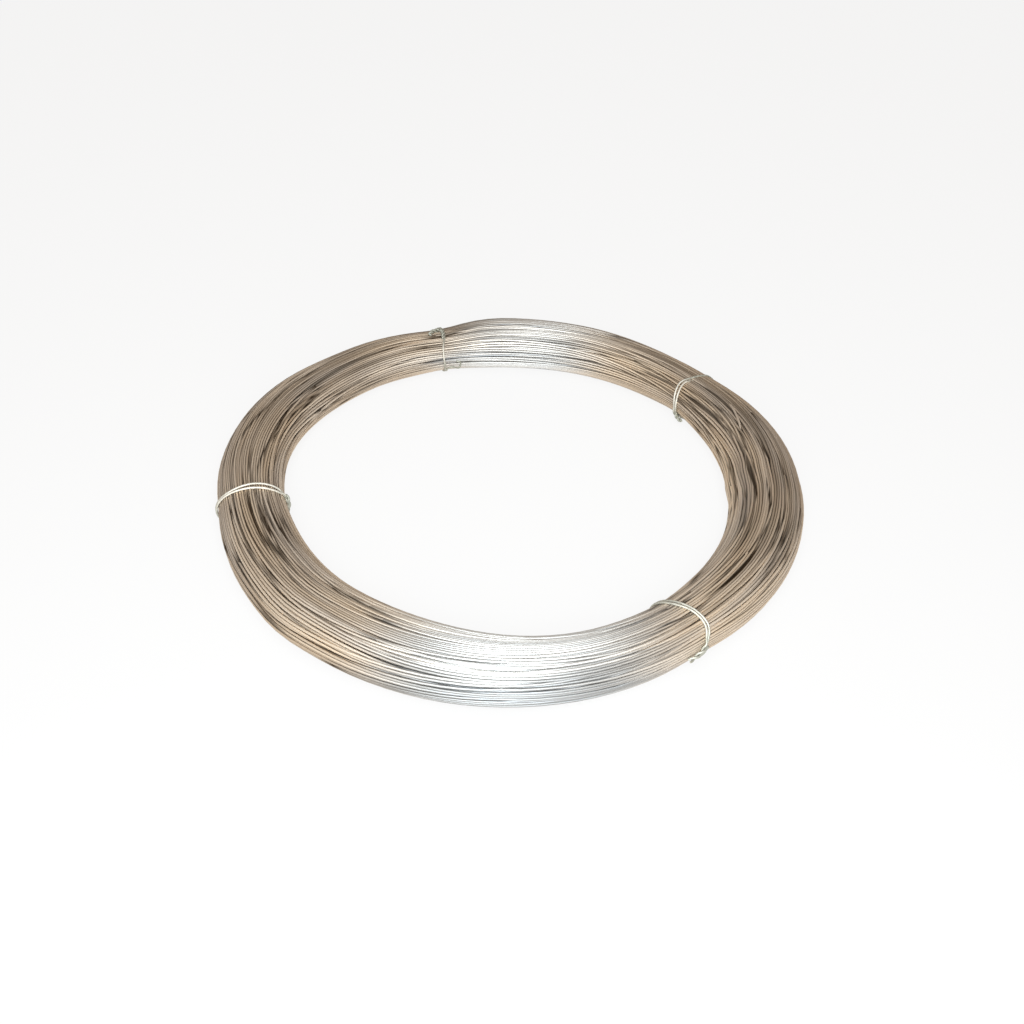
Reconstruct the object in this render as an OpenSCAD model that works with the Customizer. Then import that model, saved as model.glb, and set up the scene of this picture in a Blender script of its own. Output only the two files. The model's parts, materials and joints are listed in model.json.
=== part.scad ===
// Flat-lying coil of fence wire, held by four twisted wire ties.
// Origin: the coil's axis, on the surface it lies on. +Z is the coil's axis.

/* [Coil] */
// Outer diameter of the coil
outer_d = 600; // [570:5:760]
// Diameter of the clear bore
bore_d = 454; // [400:2:490]
// Height of the coil, lying flat
coil_h = 50; // [42:1:66]
// Height of the straight wall round the bore
bore_wall_h = 16; // [8:1:22]
// Diameter of the fence wire
wire_d = 2.5; // [1.6:0.1:4]

/* [Ties] */
// Diameter of the tie wire
tie_wire_d = 2.2; // [1.6:0.1:3]
// Distance between the two turns of a tie
tie_pitch = 2.6; // [2.4:0.1:6]
// Gap between a tie and the turns under it
tie_gap = 0.15; // [0.1:0.05:0.5]
// Room beside a tie, where the turns are pinched in
pinch_room = 0.6; // [0.3:0.1:4]
// Length over which a tie's two ends cross once
twist_lead = 9; // [7:0.5:20]

/* [Tie places, counter-clockwise from +X, in degrees] */
// Place of the left tie
left_angle = 193; // [160:1:220]
// Place of the back tie
back_angle = 109; // [90:1:130]
// Place of the right tie
right_angle = 37.5; // [10:0.5:60]
// Place of the front tie
front_angle = 307; // [280:1:330]

/* [Twisted ends] */
// Length of the left tie's twisted ends
left_tail = 9; // [6:1:40]
// Length of the back tie's twisted ends
back_tail = 12; // [6:1:40]
// Length of the right tie's twisted ends
right_tail = 11; // [6:1:40]
// Length of the front tie's twisted ends
front_tail = 27; // [6:1:60]

/* [Knots: the way each faces round the bundle, 0 outwards, 90 up, in degrees] */
// Left knot
left_knot = 122; // [90:1:135]
// Back knot
back_knot = 60; // [45:1:90]
// Right knot
right_knot = 238; // [225:1:270]
// Front knot
front_knot = -12; // [-30:1:30]

/* [Hidden] */

wire_colour = [0.64, 0.60, 0.55];
tie_colour = [0.86, 0.84, 0.78];

// The bundle's section is an ellipse, cut straight on its inner side by the bore wall
wall_tip = asin(bore_wall_h / coil_h);
half_w = (outer_d - bore_d) / 2 / (1 + cos(wall_tip));
half_h = coil_h / 2;
wall_u = half_w * cos(wall_tip);
mid_r = outer_d / 2 - half_w;

// Turns of wire nest a little, so the solid has no slits between them
turn_nesting = 0.94;
tie_depth = tie_wire_d + 2 * tie_gap;
ring_facets = 144;
turn_sides = 8;
tie_sides = 8;
tie_step = 5;
twist_step = 1.6;
bend_steps = 6;
tail_lean = 0.1;
long_tail_lean = 0.02;
pinch_step = 7.5;
way_step = 0.5;

// Point of the section [out, up] from the ellipse's middle, where it faces a given way, pulled in by inset
function section_point(way, inset) =
    [half_w ^ 2 * cos(way), half_h ^ 2 * sin(way)] / norm([half_w * cos(way), half_h * sin(way)])
    - inset * [cos(way), sin(way)];

// The same point, kept clear of the bore wall pulled in by inset
function walled_point(way, inset) =
    let (p = section_point(way, inset))
    [max(p[0], inset - wall_u), p[1]];

// Length along the section from its outermost point, for each way it faces: [length, way]
function runs(last_way, inset) = [
    for (way = 0, run = 0;
         way <= last_way;
         way = way + way_step,
         run = run + norm(section_point(way, inset) - section_point(way - way_step, inset)))
    [run, way]
];

// Ways that the turns of the outer layer face, evenly spaced from wall corner to wall corner
wire_r = wire_d / 2;
wall_way = 180 - atan2(half_w * sin(wall_tip), half_h * cos(wall_tip));
turn_runs = runs(wall_way, wire_r);
turn_run = turn_runs[len(turn_runs) - 1][0] - wire_r * turn_nesting;
turns_each_way = round(turn_run / (wire_d * turn_nesting));
function turn_way(i) = sign(i) * lookup(abs(i) * turn_run / turns_each_way, turn_runs);

// What shows of each turn: three flats of an eight-sided wire that just holds the round one
flat_tip = 180 / turn_sides;
flat_r = wire_r / cos(flat_tip);
groove_inset = wire_r * (turn_nesting - tan(flat_tip));
function flat_end(way, tip) = section_point(way, wire_r) + flat_r * [cos(way + tip), sin(way + tip)];
turn_flats = [
    for (i = [-turns_each_way : turns_each_way], tip = [-flat_tip, flat_tip])
    flat_end(turn_way(i), tip)
];
turn_grooves = [
    for (i = [-turns_each_way : turns_each_way - 1])
    section_point(turn_way(i + 0.5), groove_inset)
];
turn_points = [
    for (k = [0 : len(turn_flats) - 1])
    each (k % 2 == 0 || k == len(turn_flats) - 1)
        ? [turn_flats[k]]
        : [turn_flats[k], turn_grooves[(k - 1) / 2]]
];
wall_corners = [
    [-wall_u, bore_wall_h / 2],
    [-wall_u, -bore_wall_h / 2]
];

// Section of the bundle where a tie pinches it, wall and all
pinch_wall_u = wall_u - tie_depth;
pinch_side = [for (way = [90 : pinch_step : 180]) section_point(way, tie_depth)];
pinch_wall_h = 2 * lookup(-pinch_wall_u, pinch_side);
pinch_points = concat(
    [[-pinch_wall_u, -pinch_wall_h / 2]],
    [
        for (way = [-180 : pinch_step : 180])
        let (p = section_point(way, tie_depth))
        if (p[0] > -pinch_wall_u) p
    ],
    [[-pinch_wall_u, pinch_wall_h / 2]]
);
tie_angles = [right_angle, back_angle, left_angle, front_angle, right_angle + 360];
pinch_width = 2 * (tie_pitch + tie_wire_d / 2 + pinch_room);
pinch_turn = 2 * asin(pinch_width / bore_d);

// A length as a direction, and the part of v at right angles to a direction
function unit(v) = v / norm(v);
function squared(v, way) = unit(v - (v * way) * way);

// Directions along a path, and a sideways direction carried along it without twisting
function headings(path) = [
    for (i = [0 : len(path) - 1])
    unit(path[min(i + 1, len(path) - 1)] - path[max(i - 1, 0)])
];
function carried(ways, first) = [
    for (i = 0, side = squared(first, ways[0]);
         i < len(ways);
         i = i + 1, side = i < len(ways) ? squared(side, ways[i]) : side)
    side
];

// Round wire of diameter d along a path
module swept_wire(path, d, sides) {
    ways = headings(path);
    across = carried(ways, [0.3, 0.8, 0.5]);
    last = len(path) - 1;
    points = [
        for (i = [0 : last], k = [0 : sides - 1])
        path[i] + d / 2 * (cos(360 * k / sides) * across[i] + sin(360 * k / sides) * cross(ways[i], across[i]))
    ];
    skin = [
        for (i = [0 : last - 1], k = [0 : sides - 1])
        let (a = i * sides + k, b = i * sides + (k + 1) % sides)
        [a, a + sides, b + sides, b]
    ];
    ends = [[for (k = [0 : sides - 1]) k], [for (k = [sides - 1 : -1 : 0]) last * sides + k]];
    polyhedron(points = points, faces = concat(skin, ends), convexity = 10);
}

// Smooth bend from a to b, leaving along a_way and arriving along b_way, without its two end points
function bend(a, a_way, b, b_way) =
    let (reach = norm(b - a) * 0.4, c = a + reach * a_way, d = b - reach * b_way)
    [
        for (i = [1 : bend_steps - 1])
        let (t = i / bend_steps, s = 1 - t)
        s ^ 3 * a + 3 * s ^ 2 * t * c + 3 * s * t ^ 2 * d + t ^ 3 * b
    ];

// Local place of a tie: out from the coil's axis, along the ring, up
function placed(p, along) = [mid_r + p[0], along, half_h + p[1]];

// One turn after another round the bundle, from a knot that faces knot_way
tie_inset = tie_gap + tie_wire_d / 2;
loop_steps = round(2 * PI * norm([half_w, half_h]) / sqrt(2) / tie_step);
function loop_path(knot_way, gap_way) = [
    for (i = [0 : 2 * loop_steps])
    let (turned = gap_way + (720 - 2 * gap_way) * i / (2 * loop_steps))
    placed(walled_point(knot_way + turned, tie_inset), tie_pitch * (turned / 360 - 1))
];

// Tie of one wire: its twisted end, two turns round the bundle, and its other twisted end.
// knot_way is the way the knot faces, tail_side is 1 or -1 for the way the ends point along the ring.
twist_r = tie_wire_d / 2 + tie_gap;
knot_lift = tie_inset + twist_r + tie_wire_d / 2 + tie_gap;
module tie(angle, knot_way, tail, tail_side, tail_lean) {
    out = [cos(knot_way), 0, sin(knot_way)];
    round_way = [-sin(knot_way), 0, cos(knot_way)];
    along = [0, tail_side, 0];
    tail_way = unit(along + tail_lean * out);
    tail_up = cross(tail_way, round_way);
    knot = placed(walled_point(knot_way, tie_inset), 0) + knot_lift * out + (tie_pitch + 1) * along;
    loops = loop_path(knot_way, 10);
    ways = headings(loops);
    twists = ceil(tail / twist_step);
    function twisted(i, phase) =
        let (run = tail * i / twists, turn = phase + 180 * run / twist_lead)
        knot + run * tail_way + twist_r * (cos(turn) * round_way + sin(turn) * tail_up);
    first_end = [for (i = [twists : -1 : 0]) twisted(i, 0)];
    second_end = [for (i = [0 : twists]) twisted(i, 180)];
    rotate([0, 0, angle])
    swept_wire(
        concat(
            first_end,
            bend(twisted(0, 0), -tail_way, loops[0], ways[0]),
            loops,
            bend(loops[len(loops) - 1], ways[len(ways) - 1], twisted(0, 180), tail_way),
            second_end
        ),
        tie_wire_d,
        tie_sides
    );
}

// The bundle from one tie round to the next, ending where the ties pinch it
module loose_span(from_angle, to_angle) {
    start_angle = from_angle + pinch_turn / 2;
    rotate_extrude(start = start_angle, angle = to_angle - from_angle - pinch_turn, $fn = ring_facets)
    translate([mid_r, half_h])
    polygon(concat(turn_points, wall_corners));
}

module wire_coil() {
    color(wire_colour)
    union() {
        rotate_extrude($fn = ring_facets) translate([mid_r, half_h]) polygon(pinch_points);
        for (i = [0 : 3]) loose_span(tie_angles[i], tie_angles[i + 1]);
    }
}

module tie_wire_left() {
    color(tie_colour) tie(left_angle, left_knot, left_tail, 1, tail_lean);
}

module tie_wire_back() {
    color(tie_colour) tie(back_angle, back_knot, back_tail, 1, tail_lean);
}

module tie_wire_right() {
    color(tie_colour) tie(right_angle, right_knot, right_tail, -1, tail_lean);
}

module tie_wire_front() {
    color(tie_colour) tie(front_angle, front_knot, front_tail, -1, long_tail_lean);
}

wire_coil();
tie_wire_left();
tie_wire_back();
tie_wire_right();
tie_wire_front();
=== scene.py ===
"""Coil of galvanized fence wire, wound turn by turn and held by four wire ties."""
import json
import math

import bpy
import numpy as np
from mathutils import Matrix, Vector


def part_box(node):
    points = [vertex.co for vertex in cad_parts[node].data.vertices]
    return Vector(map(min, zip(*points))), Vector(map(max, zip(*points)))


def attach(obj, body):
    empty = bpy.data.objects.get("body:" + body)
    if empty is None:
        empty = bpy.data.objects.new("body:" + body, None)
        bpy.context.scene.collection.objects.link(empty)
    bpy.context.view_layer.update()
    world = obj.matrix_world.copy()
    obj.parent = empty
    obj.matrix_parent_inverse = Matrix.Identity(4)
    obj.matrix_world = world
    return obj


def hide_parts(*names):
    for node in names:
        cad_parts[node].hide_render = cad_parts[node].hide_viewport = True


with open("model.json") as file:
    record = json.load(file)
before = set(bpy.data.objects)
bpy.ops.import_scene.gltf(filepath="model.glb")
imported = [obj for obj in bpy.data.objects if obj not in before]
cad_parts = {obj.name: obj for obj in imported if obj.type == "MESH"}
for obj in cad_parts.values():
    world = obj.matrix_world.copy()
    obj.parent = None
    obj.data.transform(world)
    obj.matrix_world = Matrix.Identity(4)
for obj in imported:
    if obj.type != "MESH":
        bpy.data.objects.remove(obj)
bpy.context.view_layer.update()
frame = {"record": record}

MM = 0.001

# ---------------------------------------------------------------- sizes, from the frame

coil_low, coil_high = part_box("wire_coil")
BORE_R = frame["record"]["mounts"][0]["dims"]["r_mm"] * MM
OUTER_R = coil_high[0]
HALF_H = (coil_high[2] - coil_low[2]) / 2
HALF_W = (OUTER_R - BORE_R) / 2
MID_R = OUTER_R - HALF_W

# Where the bundle's outer and inner edges swell or draw in: [place round the ring, reach, both in
# degrees, and mm, outwards from the axis]
OUTER_SWELLS = [(31, 26, 9), (46, 17, -14), (67, 8, 1.5), (88, 5, 0.5), (107, 6, -6.5), (118, 9, -14),
                (137, 8, -8), (161, 7, 1), (198, 11, -4), (228, 5, 2.5), (254, 17, 3.5), (309, 14, -5.5)]
INNER_SWELLS = [(359, 14, -1), (43, 15, 4), (93, 15, -6.5), (126, 14, 3.5), (168, 17, 6), (205, 15, -2.6),
                (248, 14, -3.2), (285, 18.5, 8.4), (335, 16, 1.2), (359, 2.5, -2)]

# Gaps between the turns at the bundle's surface: [from and to round the ring, from and to by the way
# the surface faces there, all in degrees, and the gap's half width in mm]
GAPS = [
    # right
    (-12, 11, 103, 112, 1.7), (-46, -26, 86, 86, 1.5), (1, 11, 85, 90, 1.1), (-15, -5, 87, 94, 1.1),
    (21, 36, 94, 96, 1.8), (18, 37, 116, 131, 2), (20, 37, 137, 146, 0.8), (38, 50, 126, 135, 1.3),
    (-22, -11, 74, 71, 0.7), (14, 27, 101, 88, 1.2),
    # left
    (196, 211, 77, 76, 0.5), (196, 214, 86, 87, 0.8), (198, 216, 96, 98, 0.7), (197, 218, 108, 111, 1),
    (174, 190, 113, 99, 0.8), (161, 181, 88, 61, 1.1), (149, 161, 116, 136, 1.3), (160, 175, 110, 117, 1.1),
    (210, 223, 40, 39, 0.7),
    # front
    (231, 253, 107, 105, 1), (231, 251, 31, 31, 0.6), (258, 278, 43, 22, 1), (259, 281, 17, -18, 1.1),
    (263, 300, -24, -27, 1.2), (279, 291, 38, 31, 0.5), (281, 301, 67, 57, 0.6), (300, 312, 84, 76, 0.7),
    # back
    (101, 116, 89, 103, 1.5), (104, 118, 163, 175, 1.1), (88, 104, 159, 163, 1.4),
    (77, 97, 157, 144, 0.7), (107, 122, 112, 119, 0.5), (111, 132, 146, 160, 0.6),
]

# Where the wire's end crosses the other turns: [from and to round the ring, and by the way it faces]
WIRE_END = (15.5, 25.5, 99.5, 89.5)

# Painted highlight at the front and back, where the turns run across the view, drawn as cleaner, paler zinc:
# [place round the ring, reach, soft edge, all in degrees, and how strong]
SHINE = [(275, 37, 26, 1), (89, 31, 24, 0.9)]

# Where the painted highlight is weaker or stronger: [place round the ring and reach, way it faces and reach,
# all in degrees, and how much stronger]
HIGHLIGHT_TRIMS = [(104, 10, 85, 30, -0.5), (113, 8, 170, 20, 0.25), (293, 8, 40, 40, -0.2)]

# Where it is lighter or darker by the way the surface faces, partly uneven zinc and partly painted light and
# shade, such as the darker lower edge turned to the floor and trimmed highlights: [place round the ring and
# reach, way it faces and reach, all in degrees, and how much lighter]
SHADES = [
    # right, towards the back
    (2, 6, 100, 9, 0.2), (2, 5, 116, 10, -0.2), (3, 7, 84, 12, -0.25), (17, 6, 92, 9, -0.4),
    (17, 7, 110, 9, 0.25), (18, 6, 120, 14, 0.2), (32, 6, 122, 9, 0.2), (35, 8, 110, 35, -0.15),
    (44, 9, 128, 12, 0.3), (46, 6, 156, 14, -0.2), (50, 8, 90, 12, -0.2), (52, 8, 112, 16, 0.05),
    # back
    (65, 7, 130, 14, 0.25), (68, 10, 118, 30, 0.12), (73, 8, 112, 20, -0.3), (75, 6, 168, 25, -0.15),
    (84, 8, 122, 10, 0.2), (86, 8, 88, 12, 0.15), (87, 10, 103, 8, -0.15), (88, 18, 170, 35, -0.35),
    (97, 8, 126, 9, 0.3), (98, 12, 178, 25, 0.15), (100, 7, 104, 8, -0.3), (102, 8, 60, 40, -0.4),
    (107, 5, 165, 25, -0.45), (108, 5, 88, 12, 0.25), (111, 10, 115, 45, 0.13),
    # left, towards the back
    (121, 8, 145, 20, 0.25), (124, 9, 110, 10, -0.25), (125, 6, 186, 14, -0.25), (127, 7, 160, 12, 0.25),
    (128, 10, 85, 15, 0.25), (138, 8, 106, 10, -0.25), (138, 6, 184, 14, -0.3), (152, 7, 78, 12, 0.3),
    (153, 6, 100, 9, -0.35), (153, 7, 145, 20, 0.3), (168, 5, 108, 9, -0.2), (168, 6, 128, 10, 0.2),
    # left, towards the front
    (190, 12, 130, 14, 0.2), (200, 6, 74, 14, 0.2), (212, 8, 60, 16, 0.45), (214, 6, 98, 9, 0.4),
    (218, 12, 87, 12, -0.3), (224, 5, 68, 10, 0.4), (230, 12, 52, 20, 0.3), (232, 7, 108, 12, 0.4),
    (234, 5, 60, 9, 0.2), (236, 6, 88, 9, -0.25), (237, 7, 28, 14, 0.25), (238, 8, 140, 35, -0.2),
    # front
    (243, 10, 78, 45, 0.35), (244, 11, 112, 11, 0.3), (246, 8, 68, 14, 0.2), (250, 10, 87, 10, -0.5),
    (256, 7, 52, 10, -0.4), (258, 7, 86, 8, -0.45), (266, 20, 15, 30, -0.75), (269, 8, 50, 12, 0.4),
    (270, 8, 62, 14, 0.2), (271, 11, -38, 18, -0.8), (271, 8, 18, 10, -0.2), (272, 16, -12, 14, -0.5),
    (274, 12, 108, 14, 0.3), (279, 7, 44, 10, -0.35), (282, 5, 64, 9, -0.2), (286, 6, 104, 12, 0.25),
    (289, 6, 40, 25, -0.3), (293, 6, 66, 10, 0.3), (293, 9, 86, 12, -0.4),
    # right, towards the front
    (306, 8, 15, 15, 0.4), (312, 6, 28, 14, 0.2), (312, 10, 58, 40, 0.4), (318, 5, 94, 10, -0.4),
    (319, 10, 50, 35, 0.3), (319, 8, 116, 14, 0.45), (332, 7, 90, 14, -0.15), (348, 6, 85, 30, -0.15),
    (359, 12, 142, 20, 0.5),
]

# ---------------------------------------------------------------- the wire

# STATIONS are the points on each turn; the coil is swept in a few PIECES of whole turns
WIRE_D = 2.5 * MM
WIRE_SIDES = 8
TURNS = 393
STATIONS = 112
PIECES = 4
SEED = 11
rng = np.random.default_rng(SEED)

# The wire is wound in lays spread over the section, and moves on to the next lay within the share
# LAY_SHIFT of one. It sways slowly from turn to turn, and wanders a little within each turn.
LAYS = 30
LAY_FILL = 0.86
LAY_SHIFT = 0.16
SWAYS = 4
SWAY_REACH = 9 * STATIONS
SWAY = np.array([4.5, 3]) * MM
WANDER_REACH = 0.35 * STATIONS
WANDER = np.array([2.2, 1.5]) * MM

# Then it settles: turns within TOUCH_REACH push each other apart, in SETTLINGS steps. Its lines are
# smoothed last, for long calm turns, and that lets neighbouring turns run into each other again.
SETTLINGS = 240
SMOOTHINGS = 6
TOUCH_REACH = 1.7 * WIRE_D
VIEW_REACH = 3.6 * WIRE_D

# ---------------------------------------------------------------- the ties

TIE_D = 2.2 * MM
TIE_SIDES = 10
TIE_STEP = 1.2 * MM

# Under each tie the bundle is pinched: it is less high by twice PINCH_DOWN and less wide by twice
# PINCH_SIDE, and its middle rises. The reaches are in degrees round the ring.
PINCH_DOWN = 1.8 * MM
PINCH_RISE = 0.6 * MM
PINCH_SIDE = 1.3 * MM
PINCH_REACH = 5
DIP_REACH = 6

# Each tie goes twice round the bundle. A way is that which it faces: 0 outwards and 90 up.
# place: degrees round the ring. route: [way, mm along the coil, mm between its two strands].
# sunk: [way, how deep in mm the first strand lies among the turns, which make no room for it]; the
# other lies less deep.
# dip: how much lower, in mm, the bundle's top lies there. knot: way where its ends meet.
# tail: [out, along, up] in mm from the bundle's middle, which the twisted ends follow. curl: the same
# for a loose end. slack: how loosely the ends are twisted. lead: mm to one twist.
# pale_and_lit: [way, how light its loops are there], painted light and shade: lighter on the side turned to
# the lamps, darker on the side in shade. end_pale: how light its twisted ends are, all round.
TIES = {
    "left": {
        "place": 193,
        "pale_and_lit": [(0, 0.3), (25, 0.5), (45, 0.9), (110, 0.85), (140, 0.6), (160, 0.2), (200, 0.1), (340, 0.2)],
        "end_pale": 0,
        "slack": 0.62,
        "lead": 15,
        "dip": 0,
        "sunk": [(0, 0)],
        "route": [(20, 5.6, 2.3), (58, 5.3, 2.3), (71, 4.5, 3.5), (85, 3.1, 5.5), (100, 2.1, 6.8),
                  (126, 2.4, 6.8), (149, 3, 3), (165, 4.5, 2.3), (200, 6.5, 2.4), (290, 6, 2.4)],
        "knot": 155,
        "tail": [(-36, 3.8, 9), (-37.4, 5.2, 4), (-37.3, 5.8, -2), (-35.8, 6, -8), (-34, 6, -11.5)],
    },
    "back": {
        "place": 109,
        "pale_and_lit": [(60, 0.1), (112, 0.2), (128, 0.8), (165, 0.8), (185, 0.3), (300, 0.1)],
        "end_pale": 0,
        "slack": 0.72,
        "lead": 11,
        "dip": 2.5,
        "sunk": [(0, 0)],
        "route": [(60, 1, 2.3), (90, 1.3, 2.3), (113, 3.6, 2.3), (128, 5.8, 2.3), (161, 6.8, 2.3),
                  (225, 4.2, 2.4), (290, 3, 2.4)],
        "knot": 112,
        "tail": [(-20.5, 4, 21.6), (-13.5, 1.8, 23.2), (-5.5, 1.2, 23.6), (-1.8, 4.5, 23.5), (-2.5, 9, 22.6),
                 (-4.5, 13, 23.5), (-9, 17.5, 23.3)],
        "curl": [(-31.2, 5.1, -15.2), (-35.6, -2, -9.2), (-33.8, -10, -13), (-36.4, -11.9, -9),
                 (-38.3, -11.8, -2.2), (-38, -6.9, -0.4)],
    },
    "right": {
        "place": 37.5,
        "pale_and_lit": [(40, 0.1), (60, 0.15), (98, 0.1), (110, 0.8), (150, 0.85), (195, 0.4), (215, 0.1),
                 (300, 0.1)],
        "end_pale": 0,
        "slack": 0.55,
        "lead": 10,
        "dip": 0,
        "sunk": [(10, 0), (28, 2.8), (99, 2.8), (109, 0)],
        "route": [(20, -3, 2.3), (37, -1.5, 2.3), (51, 1.6, 2.3), (74, 0.3, 2.3), (95, 2.4, 2.4),
                  (114, 5.6, 4.2), (127, 3.4, 4.6), (142, 0.6, 4.2), (160, -1.9, 3.8), (176, -3.5, 3),
                  (198, -4.3, 2.5), (221, -5.5, 2.3), (270, -8, 2.4)],
        "knot": 206,
        "tail": [(-31.2, -3.5, -8.5), (-31, -6.5, -12), (-31, -11.5, -14), (-29.3, -15, -15)],
    },
    "front": {
        "place": 307,
        "pale_and_lit": [(10, 0), (28, 0.05), (42, 0.45), (85, 0.5), (100, 0.4), (130, 0.3), (200, 0.2),
                 (300, 0.1)],
        "end_pale": 0.15,
        "slack": 0.62,
        "lead": 17,
        "dip": 0,
        "sunk": [(0, 0)],
        "route": [(14, 2.2, 3.4), (27, 4.6, 3), (38, 6.5, 2.6), (47, 9.2, 3.4), (59, 9.7, 2.8),
                  (70, 8.8, 2.5), (81, 7.2, 2.5), (90, 4.8, 3.2), (100, 1.4, 3.7), (115, -1.9, 4),
                  (129, -4.1, 3.5), (150, -6, 2.3), (220, -9, 2.4), (300, -2, 2.4)],
        "knot": 14,
        "tail": [(32, 0.8, 5), (32.8, -4, 2), (33, -10, -0.3), (32.5, -17.5, -2.3)],
    },
}


def eased(t):
    """Smooth step from 0 to 1."""
    t = np.clip(t, 0, 1)
    return t * t * (3 - 2 * t)


def smoothed(values):
    """Values along the wire, each blended with two on either side."""
    values[2:-2] = (values[:-4] + values[4:] + 4 * (values[1:-3] + values[3:-1]) + 6 * values[2:-2]) / 16
    return values


def lengths(vectors):
    """Length of each [out, up], never quite nothing."""
    return np.maximum(np.hypot(vectors[..., 0], vectors[..., 1]), 1e-9)


def wander(count, reach):
    """Seeded noise along the wire, [out, up], that changes over reach stations."""
    knots = rng.normal(size=(int(count / reach) + 3, 2))
    place = np.arange(count) / reach
    knot = place.astype(int)
    blend = eased(place - knot)[:, None]
    return knots[knot] * (1 - blend) + knots[knot + 1] * blend


def lay_centres():
    """Middles of the lays, spread evenly over the section and wound in a mixed order."""
    k = np.arange(LAYS) + 0.5
    r = np.sqrt(k / LAYS)
    turn = k * math.pi * (3 - math.sqrt(5))
    return rng.permutation(np.stack([r * np.cos(turn), r * np.sin(turn)], axis=1))


def wound_path():
    """The wire's place in the section, [out, up] from its middle, at every station of every turn."""
    count = TURNS * STATIONS
    turn = np.arange(count) / STATIONS
    centres = lay_centres()
    lay = turn / TURNS * (LAYS - 1)
    first = np.minimum(lay.astype(int), LAYS - 2)
    blend = eased((lay - first - (1 - LAY_SHIFT) / 2) / LAY_SHIFT)[:, None]
    path = centres[first] * (1 - blend) + centres[first + 1] * blend
    path *= [LAY_FILL * HALF_W, LAY_FILL * HALF_H]
    for wave in range(1, SWAYS + 1):
        swing = 2 * math.pi * wave * turn[:, None]
        across = wander(count, SWAY_REACH) * np.cos(swing) + wander(count, SWAY_REACH) * np.sin(swing)
        path += across / wave ** 0.8 * SWAY
    path += wander(count, WANDER_REACH) * WANDER
    return path


def swell(swells, angle):
    """Sum of the swells at angles round the ring, in degrees."""
    total = np.zeros(len(angle))
    for place, reach, height in swells:
        away = (angle - place + 180) % 360 - 180
        total += height * MM * np.exp(-0.5 * (away / reach) ** 2)
    return total


class Outline:
    """The bundle's oval outline at each path point: its middle and its half sizes, [out, up]."""

    def __init__(self, angle):
        outer = HALF_W + swell(OUTER_SWELLS, angle)
        inner = -HALF_W + swell(INNER_SWELLS, angle)
        pinch = swell([(tie["place"], PINCH_REACH, 1) for tie in TIES.values()], angle) / MM
        dip = swell([(tie["place"], DIP_REACH, tie["dip"]) for tie in TIES.values()], angle)
        self.middle = np.stack([(outer + inner) / 2, PINCH_RISE * pinch - dip / 2], axis=1)
        self.half = np.stack([(outer - inner) / 2 - PINCH_SIDE * pinch,
                              HALF_H - PINCH_DOWN * pinch - dip / 2], axis=1)

    def relative(self, path, inset=0):
        """Path points as shares of the outline, pulled in by inset: at a length of 1 they are on it."""
        return (path - self.middle) / (self.half - inset)

    def facing(self, path):
        """Outward direction of the outline nearest to each path point."""
        way = self.relative(path) / self.half
        return way / lengths(way)[:, None]

    def at_way(self, way, lift):
        """Points [out, up] at a lift above the outline, where it faces each way in degrees."""
        face = np.stack([np.cos(np.radians(way)), np.sin(np.radians(way))], axis=1)
        reach = lengths(self.half * face)[:, None]
        return self.middle + self.half ** 2 * face / reach + np.reshape(lift, (-1, 1)) * face

    def kept_in(self, path, inset):
        """Path points, with those past the outline brought back to it."""
        over = np.maximum(lengths(self.relative(path, inset)), 1)
        return self.middle + (path - self.middle) / over[:, None]


def highlight_share(angle):
    """How strong the painted highlight, drawn as cleaner zinc, is at angles round the ring, in degrees."""
    total = np.zeros(len(angle))
    for place, reach, soft, amount in SHINE:
        away = np.abs((angle - place + 180) % 360 - 180)
        total += amount * eased((reach - away) / soft)
    return total


def zones(spots, angle, way):
    """Sum of the spots' amounts at angles round the ring, where the surface faces each way."""
    total = np.zeros(len(angle))
    for place, reach, zone_way, zone_reach, amount in spots:
        away = (angle - place + 180) % 360 - 180
        aside = (way - zone_way + 180) % 360 - 180
        total += amount * np.exp(-0.5 * (away / reach) ** 2 - 0.5 * (aside / zone_reach) ** 2)
    return total


def near_pairs(path, reach):
    """Pairs of path points at the same station that lie closer than reach."""
    firsts = []
    seconds = []
    turns = path.reshape(TURNS, STATIONS, 2)
    for station in range(STATIONS):
        at = turns[:, station]
        gap = (at[:, None, 0] - at[None, :, 0]) ** 2 + (at[:, None, 1] - at[None, :, 1]) ** 2
        i, j = np.nonzero(np.triu(gap < reach ** 2, 1))
        firsts.append(i * STATIONS + station)
        seconds.append(j * STATIONS + station)
    return np.concatenate(firsts), np.concatenate(seconds)


def gap_places():
    """Each gap's stations, and at each its middle, half width and the way it opens."""
    places = []
    for start, stop, start_way, stop_way, half in GAPS:
        station = np.arange(math.ceil(start / 360 * STATIONS), math.floor(stop / 360 * STATIONS) + 1)
        angle = 360 * station / STATIONS
        share = (angle - start) / (stop - start)
        way = start_way + share * (stop_way - start_way)
        middle = Outline(angle).at_way(way, -0.3 * half * MM)
        width = half * MM * np.sin(math.pi * np.clip(share, 0.02, 0.98)) ** 0.7
        face = np.stack([np.cos(np.radians(way)), np.sin(np.radians(way))], axis=1)
        places.append((station % STATIONS, middle, width, face))
    return places


def kept_out(path, places):
    """Path points, with those inside a gap moved to its side."""
    turns = path.reshape(TURNS, STATIONS, 2)
    for station, middle, width, face in places:
        away = turns[:, station] - middle
        push = np.maximum(1, (width + WIRE_D / 2) / lengths(away))
        turns[:, station] = middle + away * push[..., None]
    return turns.reshape(-1, 2)


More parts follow.
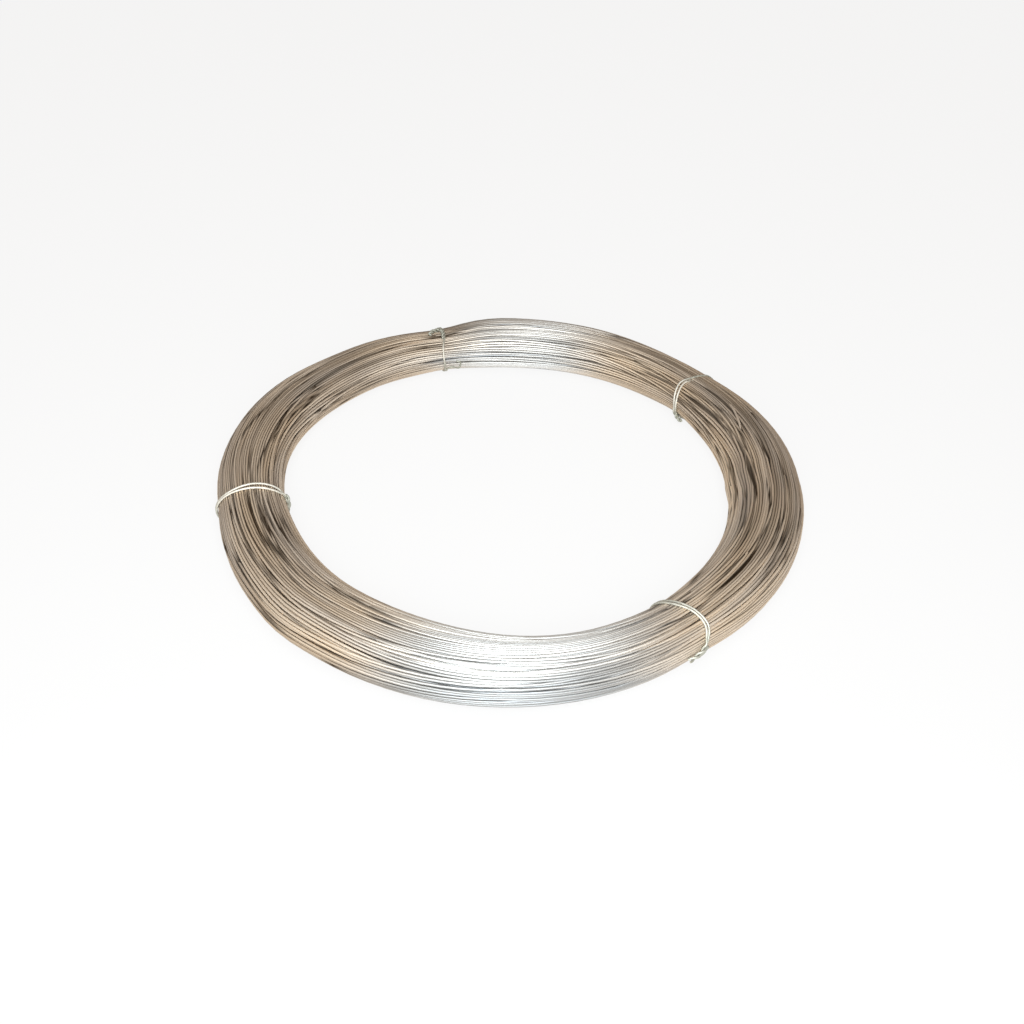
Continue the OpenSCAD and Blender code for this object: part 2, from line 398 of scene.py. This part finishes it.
def settled(path, outline):
    """The turns pushed apart until they fill the outline, then smoothed, which lets them overlap."""
    count = len(path)
    places = gap_places()
    # Room between the turns when they are spread evenly, which closes up as they settle
    spread = np.maximum(np.sqrt(3.6 * outline.half.prod(axis=1) / TURNS) - WIRE_D, 0)
    for step in range(SETTLINGS):
        done = step / SETTLINGS
        if step % 8 == 0:
            i, j = near_pairs(path, TOUCH_REACH)
            room = WIRE_D + spread[i] * (1 - eased((done - 0.6) / 0.15))
        # Stiff at first, so that the turns lie in long lines, and softer as they find their places
        stiff = 0.5 if done < 0.75 else 0.35 if done < 0.94 else 0.15
        flat = outline.relative(path)
        even = flat.copy()
        even[2:-2] = (flat[:-4] + flat[4:] + 2 * (flat[1:-3] + flat[3:-1]) + 2 * flat[2:-2]) / 8
        path = path + stiff * (even - flat) * outline.half
        gap = path[i] - path[j]
        near = lengths(gap)
        push = (0.42 * np.maximum(room - near, 0) / near)[:, None] * gap
        for axis in (0, 1):
            path[:, axis] += np.bincount(i, push[:, axis], count) - np.bincount(j, push[:, axis], count)
        # Until they have nearly settled, the turns spring outwards
        if done < 0.85:
            path = path + 0.05 * MM * outline.facing(path)
        path = outline.kept_in(kept_out(path, places), WIRE_D / 2)
    for step in range(SMOOTHINGS):
        path = outline.middle + smoothed(outline.relative(path)) * outline.half
    return outline.kept_in(kept_out(path, places), WIRE_D / 2)


def path_unshaded(path, outline):
    """How open each path point lies, for painted shade: the share of its view across the bundle that no turn
    covers.
    """
    i, j = near_pairs(path, VIEW_REACH)
    i, j = np.concatenate([i, j]), np.concatenate([j, i])
    gap = path[j] - path[i]
    face = outline.facing(path)[i]
    aside = np.arctan2(face[:, 0] * gap[:, 1] - face[:, 1] * gap[:, 0], (gap * face).sum(axis=1))
    half = np.arcsin(np.minimum(WIRE_D / 2 / lengths(gap), 1))
    ways = np.radians(np.arange(-82.5, 90, 15))
    view = np.zeros(len(path))
    for way in ways:
        covered = np.bincount(i[np.abs(aside - way) < half], minlength=len(path))
        view += math.cos(way) * (covered == 0)
    view = smoothed(smoothed(view)) / np.cos(ways).sum()
    return 0.5 + 0.5 * eased(view / 0.75)


def corner_unshaded(mesh, part, path, unshaded, shade_line_fade, pairs):
    """Painted shade on every corner of a swept wire, as its openness: 0 in the dark lines where it meets its
    neighbours, less so where those lines fade, 0 in the gaps, and times the openness of its path point."""
    corners = np.empty(3 * len(mesh.vertices))
    mesh.vertices.foreach_get("co", corners)
    x, y, z = corners.reshape(-1, WIRE_SIDES, 3).transpose(2, 0, 1)
    place = np.stack([np.hypot(x, y) - MID_R, z - HALF_H], axis=2)
    i, j = pairs
    mine = (i >= part.start) & (i < part.stop)
    apart = place[i[mine] - part.start] - path[j[mine]][:, None]
    clear = eased((lengths(apart) / (WIRE_D / 2) - 0.95) / 0.7)
    clear = np.maximum(clear, shade_line_fade[part][i[mine] - part.start][:, None])
    shade = np.ones(place.shape[:2])
    np.minimum.at(shade, i[mine] - part.start, clear)
    at = np.arange(part.start, part.stop) % STATIONS
    for gap in gap_places():
        for station, middle, width, face in zip(*gap):
            # Painted shade: a gap is dark far into the bundle, and only a little way up from its middle
            away = place[at == station] - middle
            rise = away @ face
            aside = away @ np.array([face[1], -face[0]])
            away = np.stack([aside, np.where(rise < 0, 0.4, 1) * rise], axis=-1)
            beside = eased((lengths(away) / width - 0.95) / 0.5)
            shade[at == station] = np.minimum(shade[at == station], beside)
    return (shade * unshaded[part][:, None]).ravel()


def in_the_round(path, turn):
    """Path points [out, up] at a number of turns, as points in space."""
    angle = 2 * math.pi * turn
    r = MID_R + path[:, 0]
    return np.stack([r * np.cos(angle), r * np.sin(angle), HALF_H + path[:, 1]], axis=1)


# ---------------------------------------------------------------- swept wire, by Geometry Nodes

def wire_tree():
    """Node tree that sweeps a round wire along a mesh's edges."""
    tree = bpy.data.node_groups.new("swept wire", "GeometryNodeTree")
    face = tree.interface
    face.new_socket("Geometry", in_out="INPUT", socket_type="NodeSocketGeometry")
    face.new_socket("Wire radius", in_out="INPUT", socket_type="NodeSocketFloat")
    face.new_socket("Sides", in_out="INPUT", socket_type="NodeSocketInt")
    face.new_socket("Finish", in_out="INPUT", socket_type="NodeSocketMaterial")
    face.new_socket("Geometry", in_out="OUTPUT", socket_type="NodeSocketGeometry")
    nodes = tree.nodes
    given = nodes.new("NodeGroupInput")
    made = nodes.new("NodeGroupOutput")
    route = nodes.new("GeometryNodeMeshToCurve")
    round_bar = nodes.new("GeometryNodeCurvePrimitiveCircle")
    sweep = nodes.new("GeometryNodeCurveToMesh")
    sweep.inputs["Fill Caps"].default_value = True
    smooth = nodes.new("GeometryNodeSetShadeSmooth")
    realize = nodes.new("GeometryNodeRealizeInstances")
    finish = nodes.new("GeometryNodeSetMaterial")
    join = tree.links.new
    join(given.outputs["Geometry"], route.inputs["Mesh"])
    join(given.outputs["Wire radius"], round_bar.inputs["Radius"])
    join(given.outputs["Sides"], round_bar.inputs["Resolution"])
    join(route.outputs["Curve"], sweep.inputs["Curve"])
    join(round_bar.outputs["Curve"], sweep.inputs["Profile Curve"])
    join(sweep.outputs["Mesh"], smooth.inputs["Geometry"])
    join(smooth.outputs["Geometry"], realize.inputs["Geometry"])
    join(realize.outputs["Geometry"], finish.inputs["Geometry"])
    join(given.outputs["Finish"], finish.inputs["Material"])
    join(finish.outputs["Geometry"], made.inputs["Geometry"])
    return tree


WIRE_TREE = wire_tree()


def set_mark(mesh, mark, values):
    """Named value kept on each of a mesh's points."""
    mesh.attributes.new(mark, "FLOAT", "POINT").data.foreach_set("value", values.astype(np.float32))


def swept_wire(name, points, marks, diameter, sides, finish):
    """Plain mesh of a wire swept through points; marks are its named values, one for each point."""
    route = bpy.data.meshes.new(name + "_route")
    steps = np.arange(len(points) - 1)
    route.from_pydata(points.tolist(), np.stack([steps, steps + 1], axis=1).tolist(), [])
    for mark, values in marks.items():
        set_mark(route, mark, values)
    guide = bpy.data.objects.new(name + "_route", route)
    bpy.context.scene.collection.objects.link(guide)
    modifier = guide.modifiers.new("sweep", "NODES")
    modifier.node_group = WIRE_TREE
    sizes = {"Wire radius": diameter / 2, "Sides": sides, "Finish": finish}
    for socket in WIRE_TREE.interface.items_tree:
        if socket.name in sizes:
            modifier[socket.identifier] = sizes[socket.name]
    ready = guide.evaluated_get(bpy.context.evaluated_depsgraph_get())
    mesh = bpy.data.meshes.new_from_object(ready)
    mesh.name = name
    piece = bpy.data.objects.new(name, mesh)
    bpy.context.scene.collection.objects.link(piece)
    bpy.data.objects.remove(guide)
    bpy.data.meshes.remove(route)
    return piece


# ---------------------------------------------------------------- finishes

class Finish:
    """A material's node tree, with short calls for its nodes and links."""

    def __init__(self, name):
        self.material = bpy.data.materials.new(name)
        self.material.use_nodes = True
        self.nodes = self.material.node_tree.nodes
        self.nodes.clear()
        self.output = self.node("ShaderNodeOutputMaterial")

    def node(self, kind, inputs=(), **settings):
        node = self.nodes.new(kind)
        for key, value in settings.items():
            setattr(node, key, value)
        for key, value in dict(inputs).items():
            if isinstance(key, str):
                socket = next(s for s in node.inputs if s.enabled and s.name == key)
            else:
                socket = node.inputs[key]
            if isinstance(value, bpy.types.NodeSocket):
                self.material.node_tree.links.new(value, socket)
            else:
                socket.default_value = value
        return node

    def ramp(self, value, stops):
        ramp = self.node("ShaderNodeValToRGB", {"Fac": value})
        elements = ramp.color_ramp.elements
        while len(elements) < len(stops):
            elements.new(1)
        for element, (place, colour) in zip(elements, stops):
            element.position = place
            element.color = (*colour, 1)
        return ramp.outputs["Color"]

    def attribute(self, name):
        return self.node("ShaderNodeAttribute", attribute_name=name).outputs["Fac"]

    def mix(self, share, first, second):
        mixed = self.node("ShaderNodeMix", {"Factor": share, "A": first, "B": second}, data_type="RGBA")
        return mixed.outputs[2]

    def surface(self, shader):
        self.material.node_tree.links.new(shader.outputs[0], self.output.inputs["Surface"])
        return self.material


def wire_noise(m, stretch, scale, detail):
    """Noise that is stretch times as long along the turns as across them, with no seam round the coil."""
    place = m.node("ShaderNodeTexCoord").outputs["Object"]
    up = m.node("ShaderNodeSeparateXYZ", {0: place}).outputs["Z"]
    flat = m.node("ShaderNodeVectorMath", {0: place, 1: (1, 1, 0)}, operation="MULTIPLY").outputs[0]
    out = m.node("ShaderNodeVectorMath", {0: flat}, operation="LENGTH").outputs["Value"]
    share = m.node("ShaderNodeMath", {0: MID_R / stretch, 1: out}, operation="DIVIDE").outputs[0]
    ring = m.node("ShaderNodeVectorMath", {0: flat, "Scale": share}, operation="SCALE").outputs[0]
    ring = m.node("ShaderNodeSeparateXYZ", {0: ring}).outputs
    spot = m.node("ShaderNodeCombineXYZ", {"X": ring["X"], "Y": ring["Y"], "Z": out}).outputs[0]
    noise = m.node("ShaderNodeTexNoise", {"Vector": spot, "W": up, "Scale": scale, "Detail": detail},
                   noise_dimensions="4D")
    return noise.outputs["Fac"]


def zinc_surface(m, colour, roughness, metallic=1.0):
    """Zinc coat of that colour, with drawn streaks in its gloss and a fine bump."""
    streaks = wire_noise(m, 12, 700, 2)
    rough = m.node("ShaderNodeMapRange",
                   {"Value": streaks, "To Min": roughness - 0.07, "To Max": roughness + 0.07}).outputs[0]
    bump = m.node("ShaderNodeBump", {"Height": streaks, "Strength": 0.1, "Distance": 0.0002})
    return m.node("ShaderNodeBsdfPrincipled", {
        "Base Color": colour, "Metallic": metallic, "Roughness": rough, "Normal": bump.outputs[0]})


def galvanized_finish():
    """Zinc-coated wire: warm and dulled, with a painted highlight at the front and back and painted shade
    between the turns, each turn a little lighter or darker.
    """
    m = Finish("galvanized_wire")
    shine = m.attribute("shine")
    dulled = wire_noise(m, 6, 90, 3)
    patches = wire_noise(m, 5, 32, 2)
    # How light it is: the turn's own tone with the zones' painted light and shade in it, and marks and
    # patches that run along it
    shade = m.node("ShaderNodeMath", {0: dulled, 1: 0.35, 2: m.attribute("tone")}, operation="MULTIPLY_ADD")
    shade = m.node("ShaderNodeMath", {0: patches, 1: 0.5, 2: shade.outputs[0]}, operation="MULTIPLY_ADD")
    shade = m.node("ShaderNodeMath", {0: shade.outputs[0], 1: 0.25}, operation="SUBTRACT").outputs[0]
    tints = wire_noise(m, 9, 60, 2)
    tint = m.node("ShaderNodeMapRange", {"Value": tints, "From Min": 0.35, "From Max": 0.65}).outputs[0]
    warm = m.ramp(shade, [(0.0, (0.29, 0.222, 0.16)),
                          (0.65, (0.71, 0.574, 0.427)),
                          (1.0, (0.88, 0.735, 0.565))])
    grey = m.ramp(shade, [(0.0, (0.265, 0.228, 0.185)),
                          (0.65, (0.675, 0.583, 0.487)),
                          (1.0, (0.845, 0.747, 0.635))])
    # Colour of the painted highlight: paler, more neutral zinc
    highlight_colour = m.ramp(shade, [(0.0, (0.40, 0.39, 0.37)),
                           (0.65, (0.77, 0.752, 0.715)),
                           (1.0, (0.86, 0.845, 0.81))])
    dull = m.mix(tint, warm, grey)
    # Painted shade: dark lines between the turns and in the gaps, filled in here and there
    shade_lift = m.node("ShaderNodeMapRange",
                    {"Value": patches, "From Min": 0.52, "From Max": 0.68, "To Max": 0.4})
    unshaded = m.node("ShaderNodeMath", {0: m.attribute("open"), 1: shade_lift.outputs[0]}, operation="MAXIMUM")
    # Colour of the painted shade: dark brown, and light grey in the painted highlight
    gap = m.mix(shine, (0.075, 0.048, 0.027, 1), (0.47, 0.475, 0.47, 1))
    colour = m.mix(unshaded.outputs[0], gap, m.mix(shine, dull, highlight_colour))
    return m.surface(zinc_surface(m, colour, 0.6))


def tie_finish():
    """Clean tie wire, cream where painted lit, and grey-green where painted in shade and at its twisted ends.
    """
    m = Finish("tie_wire")
    dulled = m.node("ShaderNodeTexNoise", {"Vector": m.node("ShaderNodeTexCoord").outputs["Object"],
                                           "Scale": 250, "Detail": 3}).outputs["Fac"]
    bright = m.ramp(dulled, [(0.3, (0.60, 0.54, 0.45)), (0.7, (0.80, 0.74, 0.64))])
    grey = m.ramp(dulled, [(0.3, (0.32, 0.31, 0.25)), (0.7, (0.46, 0.45, 0.37))])
    return m.surface(zinc_surface(m, m.mix(m.attribute("tone"), grey, bright), 0.55, 0.5))


# ---------------------------------------------------------------- the coil

GALVANIZED = galvanized_finish()

# How many stations the wire stays as light or dark, and how long its painted shade lines between neighbours
# keep their strength
TONE_REACH = 1.3 * STATIONS
SHADE_LINE_REACH = 0.25 * STATIONS


def coil_pieces():
    """The wound wire, in a few pieces of whole turns."""
    turn = np.arange(TURNS * STATIONS) / STATIONS
    outline = Outline(360 * turn)
    path = settled(wound_path(), outline)
    points = in_the_round(path, turn)
    i, j = near_pairs(path, TOUCH_REACH)
    pairs = np.concatenate([i, j]), np.concatenate([j, i])
    unshaded = path_unshaded(path, outline)
    face = outline.facing(path)
    tone = 0.5 + 0.2 * wander(len(path), TONE_REACH)[:, 0]
    way = np.degrees(np.arctan2(face[:, 1], face[:, 0]))
    # Lighter and darker zones: partly uneven zinc, partly painted light and shade by the way each turn faces
    lighter = zones(SHADES, 360 * turn, way)
    # Painted highlight at the front and back, with its trims
    shine = np.clip(highlight_share(360 * turn) + zones(HIGHLIGHT_TRIMS, 360 * turn, way), 0, 1)
    # How far the painted shade lines between neighbouring turns fade: at random, more in the painted
    # highlight and where the zones are lighter
    shade_line_fade = 0.15 + 0.55 * wander(len(path), SHADE_LINE_REACH)[:, 0] + 0.35 * shine + 0.5 * lighter
    shade_line_fade = np.clip(shade_line_fade, 0, 1)
    marks = {"tone": tone + lighter, "shine": shine}
    ends = [round(k * TURNS / PIECES) * STATIONS for k in range(PIECES + 1)]
    for k in range(PIECES):
        part = slice(ends[k], min(ends[k + 1] + 1, len(path)))
        piece = swept_wire(
            f"wound_wire_{k + 1}", points[part], {mark: values[part] for mark, values in marks.items()},
            WIRE_D, WIRE_SIDES, GALVANIZED)
        # Painted shade between the turns and in the gaps, kept on the wire as the mark open
        shade = corner_unshaded(piece.data, part, path, unshaded, shade_line_fade, pairs)
        set_mark(piece.data, "open", shade)
        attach(piece, "root")
        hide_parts("wire_coil")


coil_pieces()

# ---------------------------------------------------------------- the tie wires

TIE_WIRE = tie_finish()


def tie_points(place, spots):
    """Points [out, along, up] from the bundle's middle at a tie's place, as points in space."""
    along = spots[:, 1] / (MID_R + spots[:, 0])
    return in_the_round(spots[:, [0, 2]], place / 360 + along / (2 * math.pi))


def on_bundle(place, way, along, lift):
    """Points [out, along, up] at a lift above the bundle's outline, where it faces each way in degrees."""
    out, up = Outline(place + np.degrees(along / MID_R)).at_way(way, lift).T
    return np.stack([out, along, up], axis=1)


def eased_through(points, step):
    """Smooth line through points, at even steps."""
    p = np.concatenate([[2 * points[0] - points[1]], points, [2 * points[-1] - points[-2]]])
    t = np.linspace(0, 1, 8, endpoint=False)[:, None]
    runs = []
    for a, b, c, d in zip(p[:-3], p[1:-2], p[2:-1], p[3:]):
        bend = (2 * a - 5 * b + 4 * c - d) * t ** 2 + (3 * b - a - 3 * c + d) * t ** 3
        runs.append(b + 0.5 * ((c - a) * t + bend))
    fine = np.concatenate(runs + [points[-1:]])
    run = np.concatenate([[0], np.cumsum(np.linalg.norm(np.diff(fine, axis=0), axis=1))])
    even = np.linspace(0, run[-1], int(run[-1] / step) + 2)
    return np.stack([np.interp(even, run, fine[:, axis]) for axis in range(3)], axis=1)


def twisted(middle, side, slack, lead):
    """Two strands twisted round a middle line, the first starting on the side given."""
    middle = eased_through(middle, TIE_STEP)
    ahead = np.gradient(middle, axis=0)
    ahead /= np.linalg.norm(ahead, axis=1)[:, None]
    offsets = []
    for k in range(len(middle)):
        side = side - side.dot(ahead[k]) * ahead[k]
        side = side / np.linalg.norm(side)
        phase = 2 * math.pi * k * TIE_STEP / (lead * MM)
        offsets.append(math.cos(phase) * side + math.sin(phase) * np.cross(ahead[k], side))
    offsets = slack * TIE_D * np.array(offsets)
    return middle + offsets, middle - offsets


def by_way(steps, way):
    """Value at each way a surface faces, from a list of (way, value)."""
    ways, values = zip(*steps)
    return np.interp(way, ways, values, period=360)


def two_rounds(tie):
    """The tie's way twice round the bundle, from its knot to its knot, and its painted light and shade there.
    """
    spots = np.array(tie["route"])
    spots = np.concatenate([spots - [360, 0, 0], spots, spots + [360, 0, 0]])
    share = np.linspace(0.008, 0.992, 170)
    way = tie["knot"] + 720 * share
    shifts = np.arange(-9, 10, 3)
    along = np.mean([np.interp(way % 360 + s, spots[:, 0], spots[:, 1]) for s in shifts], axis=0)
    apart = np.mean([np.interp(way % 360 + s, spots[:, 0], spots[:, 2]) for s in shifts], axis=0)
    # Half way along, the wire crosses from its first round's side to its second's
    side = eased((share - 0.47) / 0.06) - 0.5
    # It lies on the bundle, and rises from it towards the knot
    end = np.minimum(share, 1 - share)
    lift = 0.55 * TIE_D + 0.9 * TIE_D * (1 - eased(end / 0.03))
    lift -= by_way(tie["sunk"], way) * np.where(side < 0, 1, 0.4) * MM
    return on_bundle(tie["place"], way, (along + side * apart) * MM, lift), by_way(tie["pale_and_lit"], way)


def tie_route(tie):
    """Every point of a tie's wire, [out, along, up], and how light it is: painted light and shade on its
    loops, its own colour at its ends.
    """
    loops, pale_and_lit = two_rounds(tie)
    first, second = twisted(np.array(tie["tail"]) * MM, loops[0] - loops[-1], tie["slack"], tie["lead"])
    ends = [first[::-1], loops, second]
    if "curl" in tie:
        # Its first end misses the knot and curls free, early in the first round
        start = int(0.15 * len(loops))
        pale_and_lit = pale_and_lit[start:]
        ends = [np.array(tie["curl"])[::-1] * MM, loops[start:], np.concatenate([second, first[::-1]])]
    before, after = (np.full(len(ends[k]), tie["end_pale"]) for k in (0, 2))
    return np.concatenate(ends), np.concatenate([before, pale_and_lit, after])


def loose_end():
    """The wire's end, lying in its groove across the other turns."""
    angle = np.linspace(WIRE_END[0], WIRE_END[1], 14)
    share = (angle - WIRE_END[0]) / (WIRE_END[1] - WIRE_END[0])
    way = WIRE_END[2] + share * (WIRE_END[3] - WIRE_END[2])
    # It lies half a millimetre deep, and dips in among the turns at either end
    lift = (-0.5 - 2.5 * np.abs(2 * share - 1) ** 3) * MM
    points = in_the_round(Outline(angle).at_way(way, lift), angle / 360)
    even = np.ones(len(points))
    piece = swept_wire("wire_end", points, {"tone": 0.65 * even, "shine": 0.1 * even, "open": even},
                       WIRE_D, 12, GALVANIZED)
    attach(piece, "root")


def tie_wires():
    """The four ties, each one wire that goes twice round the bundle."""
    for name, tie in TIES.items():
        points, pale_and_lit = tie_route(tie)
        line = eased_through(points, TIE_STEP)
        nearest = [np.argmin(((points - spot) ** 2).sum(axis=1)) for spot in line]
        # The tie's painted light and shade, kept as its tone
        piece = swept_wire(f"{name}_tie_wire", tie_points(tie["place"], line), {"tone": pale_and_lit[nearest]},
                           TIE_D, TIE_SIDES, TIE_WIRE)
        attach(piece, "root")
        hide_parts(f"tie_wire_{name}")


loose_end()
tie_wires()

# ---------------------------------------------------------------- studio

CAMERA_DISTANCE = 1.182
CAMERA_ELEVATION = math.radians(39.55)
CAMERA_TURN = math.radians(-0.24)
CAMERA_NOD = math.radians(-0.87)
CAMERA_TILT = math.radians(-2.07)
CAMERA_LENS = 39.44


def set_camera():
    """Camera looking down on the coil from the front."""
    back = Vector((0, -math.cos(CAMERA_ELEVATION), math.sin(CAMERA_ELEVATION)))
    right = Vector((1, 0, 0))
    up = right.cross(-back)
    turned = Matrix.Rotation(CAMERA_TURN, 3, up)
    ahead, right = turned @ -back, turned @ right
    nodded = Matrix.Rotation(CAMERA_NOD, 3, right)
    ahead, up = nodded @ ahead, nodded @ up
    tilted = Matrix.Rotation(CAMERA_TILT, 3, ahead)
    right, up = tilted @ right, tilted @ up
    data = bpy.data.cameras.new("camera")
    data.lens = CAMERA_LENS
    data.sensor_width = 36
    data.clip_end = 50
    camera = bpy.data.objects.new("camera", data)
    axes = Matrix((right, up, -ahead)).transposed().to_4x4()
    camera.matrix_world = Matrix.Translation(CAMERA_DISTANCE * back) @ axes
    bpy.context.scene.collection.objects.link(camera)
    bpy.context.scene.camera = camera


def area_light(name, place, aim, size, power, colour=(1, 1, 1)):
    """Soft lamp at place, turned to aim."""
    data = bpy.data.lights.new(name, "AREA")
    data.shape = "RECTANGLE"
    data.size, data.size_y = size
    data.energy = power
    data.color = colour
    lamp = bpy.data.objects.new(name, data)
    lamp.location = place
    lamp.rotation_euler = (Vector(aim) - Vector(place)).to_track_quat("-Z", "Y").to_euler()
    bpy.context.scene.collection.objects.link(lamp)


def set_world(level, colour):
    """Low, even light from all round."""
    world = bpy.data.worlds.new("studio")
    bpy.context.scene.world = world
    world.use_nodes = True
    background = world.node_tree.nodes["Background"]
    background.inputs["Color"].default_value = (*colour, 1)
    background.inputs["Strength"].default_value = level


def floor_finish(glow):
    """Pale floor, nearly white where it is seen, that still takes a shadow."""
    m = Finish("studio_floor")
    rays = m.node("ShaderNodeLightPath")
    seen = m.node("ShaderNodeMath", {0: rays.outputs["Is Camera Ray"], 1: rays.outputs["Is Glossy Ray"]},
                  operation="MAXIMUM").outputs[0]
    seen = m.node("ShaderNodeMath", {0: seen, 1: rays.outputs["Is Transmission Ray"]},
                  operation="MAXIMUM").outputs[0]
    share = m.node("ShaderNodeMath", {0: seen, 1: glow}, operation="MULTIPLY").outputs[0]
    paint = m.node("ShaderNodeBsdfDiffuse", {"Color": (0.70, 0.67, 0.64, 1)})
    white = m.node("ShaderNodeEmission", {"Color": (1, 1, 1, 1), "Strength": 1.0})
    mixed = m.node("ShaderNodeMixShader", {"Fac": share, 1: paint.outputs[0], 2: white.outputs[0]})
    return m.surface(mixed)


def set_floor():
    """Wide level floor that the coil lies on."""
    half = 6.0
    corners = [(-half, -half, 0), (half, -half, 0), (half, half, 0), (-half, half, 0)]
    mesh = bpy.data.meshes.new("floor")
    mesh.from_pydata(corners, [], [(0, 1, 2, 3)])
    mesh.materials.append(floor_finish(0.86))
    floor = bpy.data.objects.new("floor", mesh)
    bpy.context.scene.collection.objects.link(floor)


set_camera()
set_world(0.38, (1.0, 0.88, 0.77))
set_floor()
area_light("high_lamp", (0, -0.8, 1.1), (0, 0, 0.02), (0.7, 1.3), 11, (0.87, 0.95, 1.0))
area_light("low_lamp", (0, -1.2, 0.7), (0, 0, 0.02), (0.7, 1.1), 24, (0.82, 0.91, 1.0))
bpy.context.scene.view_settings.view_transform = "Standard"
